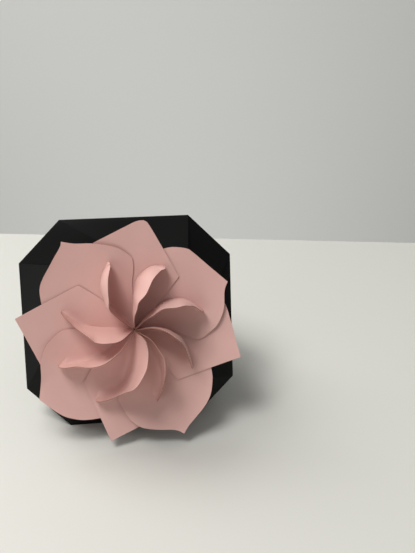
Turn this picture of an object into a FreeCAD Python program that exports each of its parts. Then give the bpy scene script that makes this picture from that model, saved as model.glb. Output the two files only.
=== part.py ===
import FreeCAD, Part
import math
import os

# Folded card box in the shape of a cut gem, closed by eight interlocked paper petals.
# The box lies on one of its wide side faces, with the flower facing -Y.
# Everything is drawn in the box's own frame first: Z is the axis, the rim of the cone is at
# Z 0, the flower is above it and the tip of the cone below. The last step lays the box down.

V = FreeCAD.Vector

# Driving dimensions, in millimetres and degrees.
across_flats = 100.0
corner_cut = 19.7
cone_depth = 146.2
crown_rise = 17.5
crown_flat = 16.0
card = 0.3

flap_reach = 31.0
flap_bite = 2.1
corner_flap_spread = 8.7

petal_reach = 52.0
petal_lift = 0.12
petal_rise = 0.03
petal_twist = 0.04
petal_start = 1.0
petal_gap = 0.3

fin_height = 22.5
fin_angle = 3.0
fin_lean_upper = 3.0
fin_lean_lower = -1.0

half = across_flats / 2.0
side_angle = math.degrees(math.atan(half / cone_depth))


def rim_corners():
    """Corners of the rim, clockwise as seen from the flower, from the left end of the top side."""
    near = half - corner_cut
    return [
        (-near, half), (near, half),
        (half, near), (half, -near),
        (near, -half), (-near, -half),
        (-half, -near), (-half, near),
    ]


def solid_from(faces):
    shell = Part.makeShell([Part.Face(Part.makePolygon(points + points[:1])) for points in faces])
    shell.sewShape()
    return Part.Solid(shell)


def gem_solid():
    """The filled gem: a cone of eight flat sides with a low roof cut flat in the middle."""
    corners = rim_corners()
    shrink = 1.0 - crown_flat / crown_rise
    rim = [V(x, y, 0) for x, y in corners]
    top = [V(x * shrink, y * shrink, crown_flat) for x, y in corners]
    tip = V(0, 0, -cone_depth)
    faces = [top]
    for i in range(8):
        j = (i + 1) % 8
        faces.append([rim[i], rim[j], tip])
        faces.append([rim[i], rim[j], top[j], top[i]])
    solid = solid_from(faces)
    if solid.Volume < 0:
        solid.reverse()
    return solid


def card_gem():
    """The gem as a folded sheet: the filled gem less a copy shrunk by the card's thickness."""
    slope = math.cos(math.atan(crown_rise / half))
    pull = math.sin(math.radians(side_angle))
    middle = (crown_rise * slope - cone_depth * pull) / (pull + slope)
    inner_radius = (middle + cone_depth) * pull
    factor = 1.0 - card / inner_radius
    outer = gem_solid()
    inner = gem_solid()
    inner.scale(factor, V(0, 0, middle))
    return outer.cut(inner)


def flap_overlap(i):
    """The part of one closing flap that lies over the next flap, clockwise."""
    corners = rim_corners()
    start = V(corners[i][0], corners[i][1], 0)
    end = V(corners[(i + 1) % 8][0], corners[(i + 1) % 8][1], 0)
    along = (end - start).normalize()
    inward = V(along.y, -along.x, 0)
    distance = -start.dot(inward)
    shift = corner_flap_spread if i % 2 else -flap_bite
    free_end = end + inward * flap_reach + along * shift
    outer = end * 0.985
    root = end * (1.0 - crown_flat / crown_rise)

    def lift(point):
        height = crown_rise * (1.0 + point.dot(inward) / distance)
        return V(point.x, point.y, height)

    corner_points = [lift(outer), lift(free_end), lift(root)]
    face = Part.Face(Part.makePolygon(corner_points + corner_points[:1]))
    normal = face.normalAt(0, 0)
    if normal.z > 0:
        normal = normal * -1.0
    return face.extrude(normal * card)


def box_body():
    body = card_gem()
    for i in range(8):
        body = body.fuse(flap_overlap(i))
    return body.removeSplitter()


# Outlines of the petals in polar form: radius as a share of petal_reach, and the angle in
# degrees clockwise from the line on which the petal's standing fin starts.
POINTED_CLOCKWISE = [(0.30, 47.0), (0.48, 48.5), (0.60, 50.0), (0.68, 49.5), (0.75, 45.0)]
POINTED_CLOCKWISE += [(0.825, 37.0), (0.88, 29.0), (0.93, 22.0), (1.015, 15.5)]
POINTED_COUNTER = [(0.965, 8.0), (0.94, 0.0), (0.915, -8.0), (0.86, -17.0), (0.78, -24.0)]
SQUARE_CORNER = (0.63, 45.5)
SQUARE_TIP = (1.0, 12.0)
SQUARE_BACK = (0.84, -20.0)
HIDDEN_POINTED = [(0.66, -20.0), (0.53, -9.0), (0.40, -2.0)]
HIDDEN_SQUARE = [(0.76, -23.0), (0.58, -10.0), (0.40, -2.0)]

# The line on which a fin stands, from the middle of the flower out to the fin's end.
FIN_ROOT = [(0.10, 3.0), (0.20, 3.0), (0.32, 4.0), (0.41, 9.0), (0.51, 17.0), (0.59, 24.0), (0.655, 28.0)]

# Height of a fin along that line, as a share of fin_height.
POINTED_FIN = [0.35, 0.62, 0.88, 1.0, 0.92, 0.62, 0.12]
SQUARE_FIN = [0.32, 0.60, 0.90, 1.06, 1.00, 0.55, 0.12]


def polar(radius, angle):
    turn = math.radians(angle)
    return V(radius * math.sin(turn), radius * math.cos(turn), 0)


def placed(pairs):
    return [polar(radius * petal_reach, angle) for radius, angle in pairs]


def smooth(points, count):
    """Points at even steps along the smooth curve through the given ones."""
    spline = Part.BSplineCurve()
    spline.interpolate(points)
    return spline.discretize(count)


def inner_points():
    """Inner ends of a petal, beside its own fin and beside the next petal's fin."""
    own = polar(petal_start, fin_angle)
    reach = 0.32 * petal_reach
    side = polar(1.0, fin_angle - 90.0) * (card / 2.0)
    own_out = polar(reach, fin_angle) + side
    own_in = own + side
    turn = fin_angle + 45.0
    keep = polar(1.0, turn - 90.0) * (card / 2.0 + petal_gap)
    next_in = polar(petal_start, turn) + keep
    next_out = polar(0.22 * petal_reach, turn) + keep
    return own_in, own_out, next_in, next_out


def petal_outline(pointed):
    own_in, own_out, next_in, next_out = inner_points()
    if pointed:
        points = [next_in] + smooth([next_out] + placed(POINTED_CLOCKWISE), 16)
        points += smooth(placed(POINTED_CLOCKWISE[-1:] + POINTED_COUNTER), 9)[1:]
        points += placed(HIDDEN_POINTED)
    else:
        points = [next_in, next_out] + placed([SQUARE_CORNER, SQUARE_TIP, SQUARE_BACK])
        points += placed(HIDDEN_SQUARE)
    points += [own_out, own_in, next_in]
    return Part.makePolygon(points)


def petal_leaf(pointed):
    """The flat part of a petal, a sheet of card in the plane Z 0."""
    face = Part.Face(petal_outline(pointed))
    leaf = face.extrude(V(0, 0, card))
    leaf.translate(V(0, 0, -card / 2.0))
    return leaf


def fin_grid(pointed, lean, side):
    """Rows of points on one face of a fin, from its root line to its free edge."""
    shares = [0.12] + (POINTED_FIN if pointed else SQUARE_FIN)
    roots = [polar(petal_start + card, fin_angle)] + placed(FIN_ROOT)
    rows = [[], [], []]
    for k in range(len(roots)):
        before = roots[max(k - 1, 0)]
        after = roots[min(k + 1, len(roots) - 1)]
        forward = (after - before).normalize()
        across = V(forward.y, -forward.x, 0)
        base = roots[k] + across * (side * card / 2.0)
        height = shares[k] * fin_height
        spread = lean * shares[k]
        rows[0].append(base)
        rows[1].append(base + across * (spread * 0.3) + V(0, 0, height * 0.5))
        rows[2].append(base + across * spread + V(0, 0, height))
    return [smooth(row, 13) for row in rows]


def strip(first, second):
    """Triangles between two rows of points."""
    faces = []
    for k in range(len(first) - 1):
        faces.append([first[k], first[k + 1], second[k + 1]])
        faces.append([first[k], second[k + 1], second[k]])
    return faces


def petal_fin(pointed, lean):
    """The standing half of a petal, a sheet of card that rises from the line FIN_ROOT."""
    a = fin_grid(pointed, lean, -1.0)
    b = fin_grid(pointed, lean, 1.0)
    faces = strip(a[0], b[0]) + strip(a[2], b[2])
    for grid in (a, b):
        faces += strip(grid[0], grid[1]) + strip(grid[1], grid[2])
    for end in (0, -1):
        faces += strip([row[end] for row in a], [row[end] for row in b])
    solid = solid_from(faces)
    if solid.Volume < 0:
        solid.reverse()
    return solid


def petal(k):
    """Petal k, counted clockwise from the square petal at the top."""
    pointed = k % 2 == 1
    lean = fin_lean_upper if k in (7, 0, 1, 2) else fin_lean_lower
    piece = petal_leaf(pointed).fuse(petal_fin(pointed, lean))
    piece = piece.removeSplitter()
    axis = 15.0
    rise = math.degrees(math.atan(petal_rise))
    twist = math.degrees(math.atan(petal_twist))
    piece.rotate(V(0, 0, 0), V(0, 0, 1), axis)
    piece.rotate(V(0, 0, 0), V(1, 0, 0), rise)
    piece.rotate(V(0, 0, 0), V(0, 1, 0), -twist)
    piece.rotate(V(0, 0, 0), V(0, 0, 1), -axis - 45.0 * k)
    piece.translate(V(0, 0, crown_flat + petal_lift + card / 2.0))
    return piece


def lay_down(shape):
    """Turns the box on to its lower wide side face, with that face's middle at the origin."""
    slant = math.hypot(half, cone_depth)
    shape.translate(V(0, half, 0))
    shape.rotate(V(0, 0, 0), V(1, 0, 0), 90.0 - side_angle)
    shape.translate(V(0, -slant / 3.0, 0))
    return shape


os.makedirs("parts", exist_ok=True)

NAMES = {0: "square_petal_1", 1: "pointed_petal_2", 2: "square_petal_2", 3: "pointed_petal_3"}
NAMES.update({4: "square_petal_3", 5: "pointed_petal_4", 6: "square_petal_4", 7: "pointed_petal_1"})

body = lay_down(box_body())
body.exportStep("parts/box_body.step")
for k in range(8):
    lay_down(petal(k)).exportStep("parts/" + NAMES[k] + ".step")
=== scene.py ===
# %% [markdown]
# # A folded card box with a flower for a lid
# The real object is one large sheet of black satin card, folded into a cone with eight flat sides, and
# eight smaller pieces of pink card, each folded into a petal with a standing fin. The box lies on one
# side. It could be modelled from scratch, but a solid model of the right size is already packed, so this
# lesson dresses that model with thin curved card, in the same place and at the same size.

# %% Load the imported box
import math
import bmesh
import bpy
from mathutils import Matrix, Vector


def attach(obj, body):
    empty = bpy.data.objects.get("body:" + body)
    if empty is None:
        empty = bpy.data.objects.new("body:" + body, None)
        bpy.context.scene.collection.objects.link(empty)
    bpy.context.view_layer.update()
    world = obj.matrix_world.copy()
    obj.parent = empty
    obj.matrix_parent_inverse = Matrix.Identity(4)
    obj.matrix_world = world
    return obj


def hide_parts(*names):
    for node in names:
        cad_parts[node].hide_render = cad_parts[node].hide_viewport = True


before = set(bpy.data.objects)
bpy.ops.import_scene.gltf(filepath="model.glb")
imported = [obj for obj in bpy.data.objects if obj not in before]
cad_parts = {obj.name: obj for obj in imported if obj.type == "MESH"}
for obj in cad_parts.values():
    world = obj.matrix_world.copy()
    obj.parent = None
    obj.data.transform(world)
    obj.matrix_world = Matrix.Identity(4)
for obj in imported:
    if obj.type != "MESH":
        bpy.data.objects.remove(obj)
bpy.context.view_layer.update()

# %% [markdown]
# ## Sizes and the lying pose
# The maker folds the box upright, with the flower on top and the tip of the cone below. It could be drawn
# in its lying pose straight away, but every angle would then be awkward. So the lengths are in millimetres
# on the upright box, with its rim at height 0, and one helper lays each point down on a wide side face.

# %% Sizes of the card and the box
HALF = 50.0
CORNER_CUT = 19.7
CONE_DEPTH = 146.2
CROWN_RISE = 17.5
CROWN_FLAT = 16.0
CARD = 0.3
SIDE_ANGLE = math.atan(HALF / CONE_DEPTH)
SLANT = math.hypot(HALF, CONE_DEPTH)


def lay_down(point):
    """From the upright box in millimetres to the lying box in metres."""
    y = point.y + HALF
    turned_y = y * math.sin(SIDE_ANGLE) - point.z * math.cos(SIDE_ANGLE) - SLANT / 3.0
    turned_z = y * math.cos(SIDE_ANGLE) + point.z * math.sin(SIDE_ANGLE)
    return Vector((point.x, turned_y, turned_z)) / 1000.0


print("side face leans", round(math.degrees(SIDE_ANGLE), 2), "degrees from the axis")

# %% [markdown]
# ## The camera
# The flower is seen a little from the left and from above, looking down by about 28 degrees. A camera can
# be aimed with a tracking constraint, but plain numbers for its place and turn are easier to check, and
# they come first, so that each new piece can be compared with the real one at once.

# %% Camera
camera_data = bpy.data.cameras.new("camera")
camera_data.lens = 51.914
camera_data.clip_start = 0.01
camera = bpy.data.objects.new("camera", camera_data)
bpy.context.scene.collection.objects.link(camera)
camera.location = (-0.00779, -0.36643, 0.24453)
camera.rotation_euler = [math.radians(a) for a in (62.349, -0.783, -7.432)]
bpy.context.scene.camera = camera
print("camera at", tuple(camera.location))

# %% [markdown]
# ## Lines and steps
# A cut or a fold on card is a line, straight or smoothly bent. Blender has curve objects for this, but the
# pieces here are grids whose rows must match along a fold, so plain lists of points serve better: one
# helper walks along straight runs in even steps, and one bends a smooth line through a few marks.

# %% Points along a line
def smoothstep(low, high, value):
    t = min(max((value - low) / (high - low), 0.0), 1.0)
    return t * t * (3.0 - 2.0 * t)


def even_points(points, count):
    """Points at even steps along a run of straight lines."""
    lengths = [0.0]
    for a, b in zip(points, points[1:]):
        lengths.append(lengths[-1] + (b - a).length)
    result = []
    k = 0
    for i in range(count):
        want = lengths[-1] * i / (count - 1)
        while k < len(points) - 2 and lengths[k + 1] < want:
            k += 1
        span = max(lengths[k + 1] - lengths[k], 1e-9)
        result.append(points[k].lerp(points[k + 1], min((want - lengths[k]) / span, 1.0)))
    return result


print("half way from 0 to 1:", smoothstep(0.0, 1.0, 0.5))


# %% A smooth line
def smooth_points(points, count):
    """Points at even steps along a smooth line through the given ones."""
    dense = []
    last = len(points) - 1
    for k in range(last):
        p0 = points[k - 1] if k > 0 else points[k] * 2.0 - points[k + 1]
        p1, p2 = points[k], points[k + 1]
        p3 = points[k + 2] if k < last - 1 else p2 * 2.0 - p1
        for s in range(12):
            t = s / 12.0
            a = p1 * 2.0
            b = (p2 - p0) * t
            c = (p0 * 2.0 - p1 * 5.0 + p2 * 4.0 - p3) * (t * t)
            d = (p1 * 3.0 - p0 - p2 * 3.0 + p3) * (t * t * t)
            dense.append((a + b + c + d) * 0.5)
    dense.append(points[-1].copy())
    return even_points(dense, count)


bend = smooth_points([Vector((0, 0, 0)), Vector((1, 1, 0)), Vector((2, 0, 0))], 5)
print("a bend through three marks", [tuple(round(v, 2) for v in p) for p in bend])

# %% [markdown]
# ## Card with a thickness
# Card bends in one direction at a time and keeps its thickness, and its cut edge is a narrow flat face.
# Both faces could be drawn point by point, but it is simpler to draw a sheet with no thickness, as grids
# of points, and to let Blender's Solidify modifier give it the card's thickness. The faces it adds along
# the cut edges can have a material of their own. Smooth shading is kept off those edges by splitting the
# mesh at sharp angles.

# %% A sheet from grids
WELD = 2e-6
SHARP = math.radians(38)


def sheet_object(name, grids, offset, edge_slot):
    """One piece of card from grids of upright-box points, welded where they share points."""
    mesh = bpy.data.meshes.new(name)
    bm = bmesh.new()
    for rows in grids:
        grid = [[bm.verts.new(lay_down(p)) for p in row] for row in rows]
        for r in range(len(grid) - 1):
            for c in range(len(grid[r]) - 1):
                bm.faces.new((grid[r][c], grid[r][c + 1], grid[r + 1][c + 1], grid[r + 1][c]))
    bmesh.ops.remove_doubles(bm, verts=bm.verts, dist=WELD)
    bmesh.ops.dissolve_degenerate(bm, edges=bm.edges, dist=WELD / 2.0)
    bmesh.ops.recalc_face_normals(bm, faces=bm.faces)
    for face in bm.faces:
        face.smooth = True
    bm.to_mesh(mesh)
    bm.free()
    piece = bpy.data.objects.new(name, mesh)
    bpy.context.scene.collection.objects.link(piece)
    solid = piece.modifiers.new("card", "SOLIDIFY")
    solid.thickness = CARD / 1000.0
    solid.offset = offset
    solid.material_offset_rim = edge_slot
    split = piece.modifiers.new("cut edges", "EDGE_SPLIT")
    split.split_angle = SHARP
    return piece


print("card thickness in metres", CARD / 1000.0)

# %% [markdown]
# ## The cone of the box
# The real box is one sheet: eight long triangles make the cone, and a closing flap folds in from each side
# of the rim. One flat face a side would look like cut glass. A fold in card has a small radius, and a wide
# side is a little hollow, so each side is a grid with extra steps close to its folds. The side that the
# box lies on stays flat.

# %% Rim and folds
NEAR = HALF - CORNER_CUT
RIM = [Vector(p) for p in (
    (-NEAR, HALF, 0), (NEAR, HALF, 0), (HALF, NEAR, 0), (HALF, -NEAR, 0),
    (NEAR, -HALF, 0), (-NEAR, -HALF, 0), (-HALF, -NEAR, 0), (-HALF, NEAR, 0))]
TIP = Vector((0, 0, -CONE_DEPTH))
FOLD_WIDTH = 0.42
FOLD_PULL = 0.13


def fold_steps(length, count):
    """Even steps along an edge, with two extra ones close to the fold at each end."""
    near = [0.0, min(FOLD_WIDTH / 3.0 / length, 0.02), min(FOLD_WIDTH / length, 0.06)]
    middle = [near[-1] + (1.0 - 2.0 * near[-1]) * k / count for k in range(1, count)]
    return near + middle + [1.0 - n for n in reversed(near)]


def rounded(point, to_fold):
    """A point close to a fold, drawn a little inwards, so that the fold gets a small radius."""
    pull = FOLD_PULL * max(1.0 - to_fold / FOLD_WIDTH, 0.0) ** 2
    inside = Vector((0.0, 0.0, point.z * 0.8 - 6.0))
    return point + (inside - point).normalized() * pull


print("rim sides", [round((RIM[(i + 1) % 8] - RIM[i]).length, 1) for i in range(8)])

# %% Cone sides
LOWER_SIDE = 4
SIDE_HOLLOW = 0.5


def side_grid(i):
    """One side of the cone, from the rim to the tip."""
    start, end = RIM[i], RIM[(i + 1) % 8]
    normal = (end - start).cross(TIP - start).normalized()
    if normal.dot(start) < 0:
        normal = -normal
    width = (end - start).length
    hollow = 0.0 if i == LOWER_SIDE else SIDE_HOLLOW
    rows = []
    for s in [0.0, 0.001, 0.003] + [k / 30.0 for k in range(1, 31)]:
        row = []
        for t in fold_steps(width, 12):
            base = start.lerp(end, t).lerp(TIP, s)
            sink = hollow * math.sin(math.pi * t) * math.sin(math.pi * min(s * 1.4, 1.0))
            from_end = min(t, 1.0 - t) * width * (1.0 - s) * 1.2
            row.append(rounded(base - normal * sink, min(s * CONE_DEPTH, from_end)))
        rows.append(row)
    return rows


print("rows from rim to tip", len(side_grid(0)))

# %% [markdown]
# ## The closing flaps
# Each flap lies over the next one clockwise, in its own sloping plane, and springs up a little along its
# cut edge, which leaves a thin dark gap. The flaps could be separate pieces, but on the real box they are
# the same sheet as the cone. Welding all sixteen grids along the folds keeps it one sheet.

# %% Flaps
FLAP_REACH = 31.0
SIDE_FLAP_SHIFT = -2.1
CORNER_FLAP_SHIFT = 8.7
FLAP_SPRING = 0.55
FLAP_BELLY = 0.35


def flap_grid(i):
    """One closing flap, from the rim to its end near the middle of the crown."""
    start, end = RIM[i], RIM[(i + 1) % 8]
    along = (end - start).normalized()
    width = (end - start).length
    inward = Vector((along.y, -along.x, 0))
    distance = -start.dot(inward)
    shift = CORNER_FLAP_SHIFT if i % 2 else SIDE_FLAP_SHIFT
    free_end = end + inward * FLAP_REACH + along * shift
    inner = start * 0.05
    rows = []
    for s in [0.0, 0.005, 0.014] + [k / 16.0 for k in range(1, 17)]:
        to_fold = s * FLAP_REACH + (0.0 if s < 0.02 else 1.0)
        row = []
        for t in fold_steps(width, 12):
            flat = start.lerp(end, t).lerp(inner.lerp(free_end, t), s)
            height = CROWN_RISE * (1.0 + flat.dot(inward) / distance)
            spring = FLAP_SPRING * smoothstep(0.55, 1.0, t) * math.sin(math.pi * min(s * 0.8, 1.0))
            belly = -FLAP_BELLY * math.sin(math.pi * t) * math.sin(math.pi * s)
            height = min(height + spring + belly, CROWN_FLAT - 0.2)
            row.append(rounded(Vector((flat.x, flat.y, height)), to_fold))
        rows.append(row)
    return rows


print("rows from rim to crown", len(flap_grid(0)))

# %% The whole box sheet
box_grids = [side_grid(i) for i in range(8)] + [flap_grid(i) for i in range(8)]
box_sheet = sheet_object("box_sheet", box_grids, -1.0, 0)
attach(box_sheet, "root")
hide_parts("box_body")
print("box sheet faces", len(box_sheet.data.polygons))

# %% [markdown]
# ## The petals' marks
# Each petal is one piece of card with two parts. The leaf lies nearly flat and covers a part of the next
# leaf clockwise. The fin is folded up from the leaf and stands beside the edge of the leaf before it. One
# template copied eight times would look printed, because the real ones were cut and curled by hand, so
# each petal has its own marks. A mark is written as on a round template: a radius, as a share of the
# box's half-width, and an angle clockwise from the line where the petal's fin starts. A mark on the fin's
# free edge has a height too, as a share of the half-width.

# %% Petal marks
ROOT_START = [(0.014, 3), (0.12, 4), (0.24, 5), (0.35, 6)]
INNER_START = [(0.12, 48.6), (0.24, 49.4)]
HIDDEN = [(0.40, -2), (0.50, -7), (0.62, -16)]

PETALS = [
    dict(name="square_petal_1", fold=1.4, turn=0, square=True,
         inner=[(0.34, 49.6), (0.50, 47)],
         outer=[(0.66, 45), (0.80, 24.5), (0.985, 12), (1.01, 9), (0.99, 5)],
         back=[(0.86, -20), (0.99, 5)],
         root=[(0.46, 8), (0.57, 15), (0.63, 21), (0.66, 30)],
         fin=[(0.16, 14, 0.28), (0.25, 14, 0.38), (0.33, 14, 0.43), (0.42, 20, 0.45),
              (0.55, 23, 0.36), (0.62, 28, 0.18)]),
    dict(name="pointed_petal_2", fold=1.2, turn=45, square=False, crease=0.075,
         inner=[(0.34, 50.4), (0.45, 52.5), (0.53, 55.5)],
         outer=[(0.60, 57.5), (0.66, 57), (0.73, 52), (0.82, 45), (0.89, 36), (0.94, 26),
                (1.00, 22)],
         back=[(0.80, -20), (0.85, -15), (0.90, -8), (0.91, -4), (0.93, 9.6), (1.00, 22)],
         root=[(0.46, 10), (0.56, 16), (0.63, 24), (0.69, 33)],
         fin=[(0.18, 3, 0.25), (0.27, 3, 0.35), (0.38, 4, 0.43), (0.48, 13, 0.42),
              (0.55, 18, 0.33), (0.62, 25, 0.20)]),
    dict(name="square_petal_2", fold=1.2, turn=90, square=True,
         inner=[(0.34, 50.2), (0.50, 50.5)],
         outer=[(0.66, 50), (1.06, 17)],
         back=[(0.88, -18), (0.91, -11), (0.94, 0), (1.01, 12), (1.06, 17)],
         root=[(0.45, 11), (0.53, 18), (0.60, 26), (0.68, 35)],
         fin=[(0.19, -20, 0.32), (0.30, -10, 0.42), (0.38, 1, 0.45), (0.46, 11, 0.38),
              (0.56, 25, 0.22)]),
    dict(name="pointed_petal_3", fold=1.6, turn=135, square=False, crease=0.10,
         inner=[(0.34, 50.6), (0.48, 53.5), (0.60, 56)],
         outer=[(0.69, 57), (0.80, 51), (0.90, 46), (0.97, 40), (1.02, 32), (1.08, 24),
                (1.15, 21)],
         back=[(0.80, -21), (0.86, -15), (0.92, -10), (1.00, -2), (1.04, 5), (1.08, 14),
               (1.11, 18), (1.15, 21)],
         root=[(0.46, 9), (0.56, 15), (0.64, 21), (0.71, 27)],
         fin=[(0.17, -32, 0.30), (0.26, -18, 0.40), (0.33, -12, 0.45), (0.40, -1, 0.43),
              (0.50, 11, 0.35), (0.62, 21, 0.20)]),
    dict(name="square_petal_3", fold=2.4, turn=180, square=True,
         inner=[(0.34, 49.6), (0.48, 47)],
         outer=[(0.65, 43), (1.06, 12)],
         back=[(0.88, -20), (1.06, 12)],
         root=[(0.46, 9), (0.56, 16), (0.65, 23), (0.72, 28)],
         fin=[(0.12, -72, 0.28), (0.18, -52, 0.36), (0.25, -33, 0.43), (0.32, -19, 0.47),
              (0.43, -2, 0.48), (0.52, 10, 0.33), (0.64, 19, 0.18)]),
    dict(name="pointed_petal_4", fold=1.8, turn=225, square=False, crease=0.15,
         inner=[(0.34, 49.6), (0.45, 49)],
         outer=[(0.57, 47.5), (0.63, 46), (0.70, 41.5), (0.78, 36), (0.86, 28), (0.93, 18),
                (1.06, 9)],
         back=[(0.84, -29), (0.89, -25), (0.96, -17), (1.00, -11), (1.03, -4), (1.06, 9)],
         root=[(0.45, 8), (0.53, 12), (0.63, 17), (0.72, 21)],
         fin=[(0.14, -11, 0.30), (0.25, 1, 0.42), (0.34, 7, 0.46), (0.44, 12, 0.40),
              (0.56, 17, 0.25)]),
    dict(name="square_petal_4", fold=0.5, turn=270, square=True,
         inner=[(0.34, 49.4), (0.45, 47.5)],
         outer=[(0.62, 44), (1.03, 9)],
         back=[(0.87, -25), (1.03, 9)],
         root=[(0.44, 8), (0.50, 11), (0.57, 14), (0.64, 18)],
         fin=[(0.10, -24, 0.30), (0.20, -9, 0.42), (0.30, -2, 0.46), (0.36, 4, 0.40),
              (0.49, 9, 0.20)]),
    dict(name="pointed_petal_1", fold=1.2, turn=315, square=False, crease=0.075,
         inner=[(0.34, 49.9), (0.44, 50), (0.58, 50.5)],
         outer=[(0.66, 49), (0.71, 44), (0.77, 37), (0.85, 25), (0.93, 15), (1.01, 10)],
         back=[(0.80, -30), (0.83, -26), (0.90, -16), (0.93, -2), (0.98, 8), (1.01, 10)],
         root=[(0.46, 10.5), (0.54, 17), (0.60, 22.5), (0.65, 29.5)],
         fin=[(0.19, 12, 0.28), (0.31, 11, 0.38), (0.39, 18, 0.43), (0.48, 23, 0.42),
              (0.56, 27, 0.33), (0.62, 31, 0.13)]),
]
print("petals", len(PETALS))

# %% [markdown]
# ## The height of a leaf
# A real leaf isn't flat. It rises outwards, rolls from one side to the other so that it can lie over its
# neighbour, and waves faintly. A square one falls to both sides of its midline, and a pointed one has a
# shallow crease to its tip. Each leaf could be sculpted, but then neighbours would cut through each other.
# One height for each place on the petal keeps their order right, because all eight share its main terms.

# %% Falls and creases
PETAL_LIFT = 0.12
LEAF_AXIS = 15.0
LEAF_RISE = 0.03
LEAF_TWIST = 0.04
TWIST_LOSS = 0.012
CURL_START = 20.0
LEAF_CURL = 0.0028
LEAF_WAVE = 0.30
SQUARE_FALL = 0.06


def polar(radius, degrees):
    turn = math.radians(degrees)
    return Vector((HALF * radius * math.sin(turn), HALF * radius * math.cos(turn), 0.0))


def square_fall(across, radius):
    """How far a square leaf falls to the sides of its midline, up to about 6 mm from it."""
    bend = 6.0 * math.tanh(across / 6.0)
    return -SQUARE_FALL * (math.hypot(bend, 3.0) - 3.0) * smoothstep(0.35, 0.8, radius)


def crease_rise(crease, across, radius):
    """How far a pointed leaf rises from the crease that runs to its tip."""
    bend = across if across > 0.0 else 9.0 * math.tanh(across / 9.0)
    start, full = (0.6, 0.95) if across > 0.0 else (0.86, 1.02)
    return crease * (math.hypot(bend, 1.2) - 1.2) * smoothstep(start, full, radius)


print("a square leaf falls", round(square_fall(6.0, 1.0), 2), "mm at 6 mm from its midline")


# %% Leaf height
def leaf_height(petal, point):
    """Height of the leaf's middle plane over the rim."""
    axis = polar(1.0, petal["turn"] + LEAF_AXIS).normalized()
    side = Vector((axis.y, -axis.x, 0.0))
    radius = point.length / HALF
    across = point.dot(side)
    twist = LEAF_TWIST - TWIST_LOSS * smoothstep(0.5, 0.9, radius)
    wave = math.sin(point.x / 10.0 + 0.6) * math.cos(point.y / 12.0 - 0.4)
    height = CROWN_FLAT + PETAL_LIFT + CARD / 2.0
    height += LEAF_RISE * point.dot(axis) + twist * across
    height += LEAF_CURL * max(point.length - CURL_START, 0.0) ** 2
    height += LEAF_WAVE * wave * smoothstep(0.3, 0.6, radius)
    if petal["square"]:
        return height + square_fall(across, radius)
    return height + crease_rise(petal["crease"], across, radius)


def on_leaf(petal, point):
    return Vector((point.x, point.y, leaf_height(petal, point)))


print("height at a leaf's edge", round(leaf_height(PETALS[0], polar(1.0, 15.0)), 2))

# %% [markdown]
# ## From marks to outlines
# The flower's middle sits 2 mm off the box's axis, as it does on the real one, and points near it are moved
# by that much. The marks of the pointed outlines were read as if the leaves lay flat. Higher leaves would
# look too large, so each mark slides along the line of sight to its leaf's own height. Redrawing every
# mark would do the same, but this keeps the template simple.

# %% Outlines
FLOWER_SHIFT = Vector((2.0, 0.0, 0.0))
MARKS_HEIGHT = 16.5
EYE = Vector((-7.8, 79.5, 0.0))
EYE_ABOVE_MARKS = 360.6


def marks(petal, pairs):
    return [polar(radius, angle + petal["turn"]) for radius, angle in pairs]


def shifted(point):
    """Moves a point near the middle of the flower to where that middle is."""
    near = 1.0 - smoothstep(0.0, 0.5 * HALF, point.length)
    return point + FLOWER_SHIFT * near


def outline(petal, pairs):
    """The marks of a leaf's free edge, at the places where the leaf shows them."""
    points = marks(petal, pairs)
    if petal["square"]:
        return points
    raised = [(leaf_height(petal, p) - MARKS_HEIGHT) / EYE_ABOVE_MARKS for p in points]
    return [p + (EYE - p) * share for p, share in zip(points, raised)]


def spread(points, count):
    """A free edge: straight between two marks, and smooth through more of them."""
    return smooth_points(points, count) if len(points) > 2 else even_points(points, count)


print("first outline", len(outline(PETALS[0], PETALS[0]["outer"])), "marks")

# %% [markdown]
# ## The fin and the leaf beside it
# A fin is the inner half of the petal, folded up round a small radius and curled over. It could be a second
# piece set on the leaf, but the fold is what the light shows, so each row of the grid starts at the leaf's
# clockwise edge, crosses the leaf, rolls up and climbs the fin. The cut edge has fine notches, as a coarse
# cutter leaves them, so every other row is a touch shorter. The fin's outer end is rounded off.

# %% The free edge of a fin
INNER_ROWS = 110
FIN_START = 5.0
FIN_ROUNDING = 0.9
NOTCH = 0.08


def fin_edge(petal, root):
    """The free edge of a fin, from the middle of the flower, round its outer end, to the leaf."""
    first = root[0].copy()
    first.z = leaf_height(petal, root[0]) + FIN_START
    edge = [first]
    for radius, angle, height in petal["fin"]:
        mark = polar(radius, angle + petal["turn"])
        mark.z = CROWN_FLAT + 1.0 + height * HALF
        edge.append(mark)
    last, finish = edge[-1], on_leaf(petal, root[-1])
    outward = (root[-1] - root[-4]).normalized()
    for angle in (math.radians(30), math.radians(55), math.radians(75)):
        swell = outward * (FIN_ROUNDING * math.sin(2.0 * angle))
        rounding = last.lerp(finish, math.sin(angle)) + swell
        rounding.z = finish.z + (last.z - finish.z) * math.cos(angle)
        edge.append(rounding)
    return smooth_points(edge + [finish], INNER_ROWS + 1)


def notched(top, base, i):
    """A point of the fin's free edge, moved up or down for the notches between its ends."""
    if i < 3 or i > INNER_ROWS - 4:
        return top
    return top + (top - base).normalized() * (NOTCH if i % 2 else -NOTCH)


print("rows with a fin", INNER_ROWS + 1)

# %% One row over leaf, fold and fin
LEAF_COLUMNS = 14
ROLL_COLUMNS = 5
FIN_COLUMNS = 9
FIN_BELLY = 0.9


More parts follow.
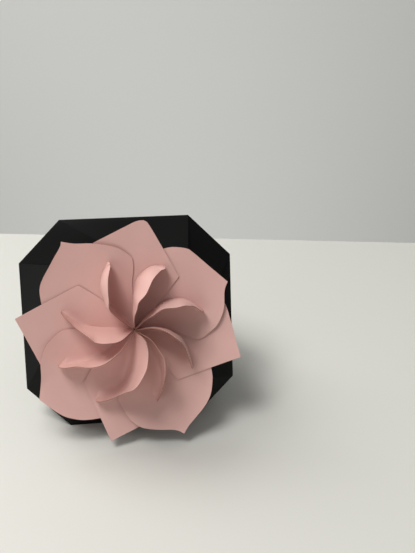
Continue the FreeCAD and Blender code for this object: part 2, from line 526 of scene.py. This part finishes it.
def fin_row(petal, base, edge, top, roll):
    """One row, from the leaf's edge over the fold at base to the top of the fin."""
    height = (top - base).length
    flat_dir = (edge - base).normalized()
    up_dir = (top - base).normalized() if height > 1e-6 else Vector((0, 0, 1))
    start = on_leaf(petal, base + flat_dir * roll)
    stop = base + up_dir * roll
    leaf_from, leaf_to = Vector((edge.x, edge.y, 0)), Vector((start.x, start.y, 0))
    row = [on_leaf(petal, leaf_from.lerp(leaf_to, c / LEAF_COLUMNS)) for c in range(LEAF_COLUMNS + 1)]
    for c in range(1, ROLL_COLUMNS):
        t = c / ROLL_COLUMNS
        row.append(start * (1 - t) ** 2 + base * (2 * t * (1 - t)) + stop * t * t)
    for c in range(FIN_COLUMNS + 1):
        t = c / FIN_COLUMNS
        belly = flat_dir * (-FIN_BELLY * math.sin(math.pi * t) * min(height / 20.0, 1.0))
        row.append(stop.lerp(top, t) + belly)
    return row


print("points in a row", LEAF_COLUMNS + ROLL_COLUMNS + FIN_COLUMNS + 1)

# %% All rows with a fin
WIDE_FOLD = 3.0


def front_rows(petal, root, inner):
    """All rows with a fin, and how far each fold reaches on to the leaf."""
    fin = fin_edge(petal, root)
    rows, folds = [], []
    for i in range(INNER_ROWS + 1):
        base = on_leaf(petal, root[i])
        edge = on_leaf(petal, inner[i])
        top = notched(fin[i], base, i)
        widening = smoothstep(0.32, 0.55, root[i].length / HALF)
        roll = petal["fold"] + (WIDE_FOLD - petal["fold"]) * widening
        roll = min(roll, 0.4 * (edge - base).length, 0.45 * (top - base).length)
        folds.append((edge - base).normalized() * roll)
        rows.append(fin_row(petal, base, edge, top, roll))
    return rows, folds


print("folds widen outwards to", WIDE_FOLD, "mm")

# %% [markdown]
# ## The rest of the leaf
# Beyond the fin's end the leaf goes on to its tip, and its other half passes under the leaf before it. The
# hidden half could be left out, but from the side and from behind it shows. So a second grid runs from the
# clockwise edge to the midline, and a third from the fold and the midline to the far edge. The grids share
# their points, so the petal stays one sheet.

# %% The edge beside the next fin
NEXT_FIN = 48.0
FIN_GAP = 0.12


def inner_edge(petal, first_outer):
    """The leaf's clockwise edge where it passes beside the next petal's fin."""
    turn = petal["turn"] + NEXT_FIN
    beside = polar(1.0, turn - 90.0).normalized() * (CARD / 2.0 + FIN_GAP)
    points = [polar(0.014, turn) + beside] + marks(petal, INNER_START + petal["inner"])
    return [shifted(p) for p in smooth_points(points + [first_outer], INNER_ROWS + 1)]


print("gap beside the next fin", FIN_GAP, "mm")

# %% The hidden half
OUTER_ROWS = 18
BACK_COLUMNS = 14
BACK_START = 0.29
BACK_GAP = 0.2
FOLD_TUCK = 0.3


def across_leaf(petal, starts, ends, columns):
    return [[on_leaf(petal, a.lerp(b, c / columns)) for c in range(columns + 1)]
            for a, b in zip(starts, ends)]


def back_rows(petal, root, inner, folds, middle):
    """The half of the leaf that passes under the leaf before it."""
    begin = next(i for i in range(INNER_ROWS + 1) if root[i].length > BACK_START * HALF)
    counter = outline(petal, petal["back"])
    hidden = [root[begin]] + marks(petal, HIDDEN) + counter[:1]
    ends = smooth_points(hidden, INNER_ROWS - begin + 1)
    ends[0] = ends[0] + (root[begin] - inner[begin]).normalized() * BACK_GAP
    starts = [root[i] + Vector((folds[i].x, folds[i].y, 0.0)) * FOLD_TUCK
              for i in range(begin, INNER_ROWS)]
    starts += [root[-1]] + middle[1:]
    ends += spread(counter, OUTER_ROWS + 1)[1:]
    return across_leaf(petal, starts, ends, BACK_COLUMNS)


print("rows beyond a fin", OUTER_ROWS)


# %% Build the petals
def petal_sheet(petal):
    root = smooth_points(marks(petal, ROOT_START + petal["root"]), INNER_ROWS + 1)
    root = [shifted(p) for p in root]
    outer = outline(petal, petal["outer"])
    inner = inner_edge(petal, outer[0])
    halfway = root[-1].lerp(outer[-1], 0.5)
    middle = smooth_points([root[-1], halfway, outer[-1]], OUTER_ROWS + 1)
    front, folds = front_rows(petal, root, inner)
    beyond = across_leaf(petal, spread(outer, OUTER_ROWS + 1), middle, LEAF_COLUMNS)
    back = back_rows(petal, root, inner, folds, middle)
    return sheet_object(petal["name"] + "_card", [front, beyond, back], 0.0, 1)


petal_pieces = []
for petal in PETALS:
    piece = petal_sheet(petal)
    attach(piece, "root")
    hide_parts(petal["name"])
    petal_pieces.append(piece)
print("petal faces", [len(p.data.polygons) for p in petal_pieces])

# %% [markdown]
# ## The fibres in card
# Both cards are pressed fibres: close up the surface has a fine grain, and from further away its colour is
# faintly cloudy. A photograph of card could be laid on as an image, but noise needs no picture and no
# unfolding of the mesh. The effect is a node group with named inputs, built once and placed in each
# material with its own values.

# %% Clouds and grain
def add_node(nodes, kind, values):
    node = nodes.new("ShaderNode" + kind)
    for socket, value in values.items():
        node.inputs[socket].default_value = value
    return node


def cloudy_colour(nodes, links, source, place, result):
    """The colour, a little darker in soft patches."""
    cloud = add_node(nodes, "TexNoise", {"Scale": 45.0, "Detail": 3.0})
    darkest = add_node(nodes, "Math", {0: 1.0})
    darkest.operation = "SUBTRACT"
    span = add_node(nodes, "MapRange", {"From Min": 0.3, "From Max": 0.7, "To Min": 1.0})
    tint = nodes.new("ShaderNodeMix")
    tint.data_type = "RGBA"
    tint.blend_type = "MULTIPLY"
    tint.inputs[0].default_value = 1.0
    links.new(place.outputs["Object"], cloud.inputs["Vector"])
    links.new(source.outputs["Cloud"], darkest.inputs[1])
    links.new(cloud.outputs["Fac"], span.inputs["Value"])
    links.new(darkest.outputs[0], span.inputs["To Max"])
    links.new(source.outputs["Colour"], tint.inputs[6])
    links.new(span.outputs[0], tint.inputs[7])
    links.new(tint.outputs[2], result.inputs["Colour"])


def grained_face(nodes, links, source, place, result):
    """Fine fibres, in the roughness and as very small bumps."""
    grain = add_node(nodes, "TexNoise", {"Scale": 2600.0, "Detail": 4.0})
    rough = add_node(nodes, "Math", {1: 0.12})
    rough.operation = "MULTIPLY_ADD"
    bump = add_node(nodes, "Bump", {"Distance": 0.00002})
    links.new(place.outputs["Object"], grain.inputs["Vector"])
    links.new(grain.outputs["Fac"], rough.inputs[0])
    links.new(source.outputs["Roughness"], rough.inputs[2])
    links.new(rough.outputs[0], result.inputs["Roughness"])
    links.new(source.outputs["Grain Depth"], bump.inputs["Strength"])
    links.new(grain.outputs["Fac"], bump.inputs["Height"])
    links.new(bump.outputs["Normal"], result.inputs["Normal"])


print("effects: cloudy colour, grained face")

# %% Fibre group
SOCKETS = [
    ("Colour", "INPUT", "Color"), ("Cloud", "INPUT", "Float"),
    ("Roughness", "INPUT", "Float"), ("Grain Depth", "INPUT", "Float"),
    ("Colour", "OUTPUT", "Color"), ("Roughness", "OUTPUT", "Float"), ("Normal", "OUTPUT", "Vector"),
]
FIBRES = bpy.data.node_groups.new("card fibres", "ShaderNodeTree")
for name, side, kind in SOCKETS:
    FIBRES.interface.new_socket(name, in_out=side, socket_type="NodeSocket" + kind)
source = FIBRES.nodes.new("NodeGroupInput")
place = FIBRES.nodes.new("ShaderNodeTexCoord")
result = FIBRES.nodes.new("NodeGroupOutput")
cloudy_colour(FIBRES.nodes, FIBRES.links, source, place, result)
grained_face(FIBRES.nodes, FIBRES.links, source, place, result)
print("fibre group nodes", len(FIBRES.nodes))

# %% [markdown]
# ## Card finishes
# The black card has a satin face that catches a soft light. The pink card is matt, and its cut edges are
# darker. One shiny material in two colours would be quicker, but satin and
# matt card reflect differently, so each finish has its own roughness and its own strength of reflection.

# %% Card materials
def card_material(name, colour, cloud, roughness, grain, reflection):
    material = bpy.data.materials.new(name)
    material.use_nodes = True
    nodes, links = material.node_tree.nodes, material.node_tree.links
    shader = nodes["Principled BSDF"]
    shader.inputs["Specular IOR Level"].default_value = reflection
    fibres = nodes.new("ShaderNodeGroup")
    fibres.node_tree = FIBRES
    fibres.inputs["Colour"].default_value = (*colour, 1.0)
    fibres.inputs["Cloud"].default_value = cloud
    fibres.inputs["Roughness"].default_value = roughness
    fibres.inputs["Grain Depth"].default_value = grain
    links.new(fibres.outputs["Colour"], shader.inputs["Base Color"])
    links.new(fibres.outputs["Roughness"], shader.inputs["Roughness"])
    links.new(fibres.outputs["Normal"], shader.inputs["Normal"])
    return material


black_card = card_material("black satin card", (0.004, 0.0042, 0.004), 0.10, 0.30, 0.25, 0.14)
pink_card = card_material("dusty pink card", (0.69, 0.425, 0.383), 0.05, 0.55, 0.35, 0.25)
pink_edge = card_material("pink card cut edge", (0.38, 0.20, 0.16), 0.15, 0.65, 0.35, 0.15)
box_sheet.data.materials.append(black_card)
for piece in petal_pieces:
    piece.data.materials.append(pink_card)
    piece.data.materials.append(pink_edge)
print("materials", black_card.name, pink_card.name, pink_edge.name)

# %% [markdown]
# ## Table and wall
# The box lies on a pale table in front of a pale wall. A curved paper backdrop would hide the line between
# them, but the real table has an edge there, so the table is a plain sheet with a short drop at its back,
# and the wall stands well behind it, where it doesn't get in the way of a view from behind.

# %% Stage
def plain(name, colour):
    material = bpy.data.materials.new(name)
    material.use_nodes = True
    shader = material.node_tree.nodes["Principled BSDF"]
    shader.inputs["Base Color"].default_value = (*colour, 1.0)
    shader.inputs["Roughness"].default_value = 0.6
    return material


def stage_mesh(name, points, faces, material):
    mesh = bpy.data.meshes.new(name)
    mesh.from_pydata(points, [], faces)
    mesh.materials.append(material)
    stage_piece = bpy.data.objects.new(name, mesh)
    bpy.context.scene.collection.objects.link(stage_piece)


def back_edge(x, z):
    """A point on the table's back edge, which runs a little askew."""
    return (x, 0.1652 - 0.155 * x, z)


table_points = [(-3, -2, 0), (3, -2, 0), back_edge(3, 0), back_edge(-3, 0),
                back_edge(3, -0.03), back_edge(-3, -0.03)]
table_faces = [(0, 1, 2, 3), (3, 2, 4, 5)]
stage_mesh("table", table_points, table_faces, plain("table top", (0.66, 0.655, 0.61)))
wall_points = [(-4, 1.3, -1.2), (4, 0.5, -1.2), (4, 0.5, 1.6), (-4, 1.3, 1.6)]
stage_mesh("wall", wall_points, [(0, 1, 2, 3)], plain("wall", (0.80, 0.80, 0.77)))
print("table's back edge in the middle", back_edge(0, 0))

# %% [markdown]
# ## Light
# The light on the real box comes from high at the left, in front and behind, as the shadows in the petals
# show. One bright lamp would make black shadows, so two large soft lamps share the work, a weak one low at
# the left brightens the lower petals, and the world fills the shadows. The last lamp hangs below the
# table's level, behind it, and lights only the wall.

# %% Lamps
LAMPS = [
    ("main lamp", (-0.35, -0.35, 0.95), (0, -0.05, 0.05), 0.35, 6.0, (1.0, 0.99, 0.975)),
    ("back lamp", (-0.50, 0.35, 0.90), (0, -0.05, 0.05), 0.7, 6.5, (1.0, 0.99, 0.97)),
    ("low lamp", (-0.45, -0.60, 0.10), (0, -0.06, 0.02), 0.4, 0.9, (1.0, 0.985, 0.98)),
    ("wall lamp", (0.05, 0.30, -0.50), (0.1, 0.95, 0.05), 0.6, 1.3, (1.0, 1.0, 0.99)),
]
for name, place, aim, size, power, colour in LAMPS:
    data = bpy.data.lights.new(name, "AREA")
    data.shape = "SQUARE"
    data.size = size
    data.energy = power
    data.color = colour
    light = bpy.data.objects.new(name, data)
    light.location = place
    light.rotation_euler = (Vector(aim) - Vector(place)).to_track_quat("-Z", "Y").to_euler()
    bpy.context.scene.collection.objects.link(light)

world = bpy.data.worlds.new("room")
world.use_nodes = True
sky = world.node_tree.nodes["Background"]
sky.inputs["Color"].default_value = (0.98, 0.99, 1.0, 1.0)
sky.inputs["Strength"].default_value = 0.25
bpy.context.scene.world = world
bpy.context.scene.view_settings.view_transform = "Standard"
print("lamps", len(LAMPS))
